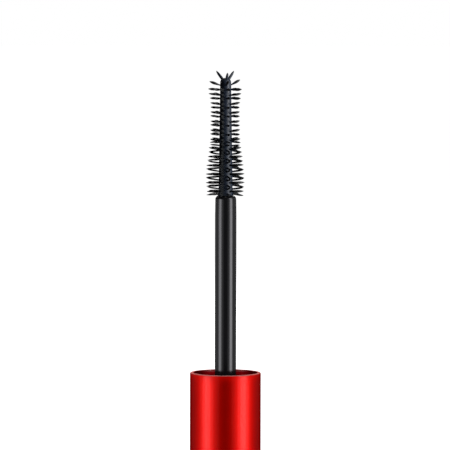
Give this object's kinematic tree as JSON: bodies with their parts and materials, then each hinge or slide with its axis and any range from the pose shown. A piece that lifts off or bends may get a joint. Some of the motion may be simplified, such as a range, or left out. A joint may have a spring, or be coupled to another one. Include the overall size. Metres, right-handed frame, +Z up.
{
  "type": "mascara applicator",
  "caption": "Mascara applicator standing on its red metal screw cap, with a black wand stem and a moulded bristle brush.",
  "frame": {"origin": "centre of the cap's flat closed end, which the applicator stands on", "axes": "+Z up along the cap, wand and brush; X and Y across, with one lengthwise row gap of the brush towards +X"},
  "size_m": [0.017, 0.017, 0.1242],
  "materials": {
    "cap_metal": "red anodised, satin",
    "pad_foam": "closed-cell foam",
    "weight_steel": "zinc plated",
    "insert_plastic": "moulded, satin",
    "washer_rubber": "soft, matt",
    "stem_plastic": "moulded, glossy",
    "brush_elastomer": "moulded elastomer, semi-matt"
  },
  "bodies": {
    "root": {"cap_shell": "cap_metal", "weight_pad": "pad_foam", "cap_weight": "weight_steel", "threaded_insert": "insert_plastic", "seal_washer": "washer_rubber", "wand_stem": "stem_plastic", "brush": "brush_elastomer"}
  },
  "joints": []
}
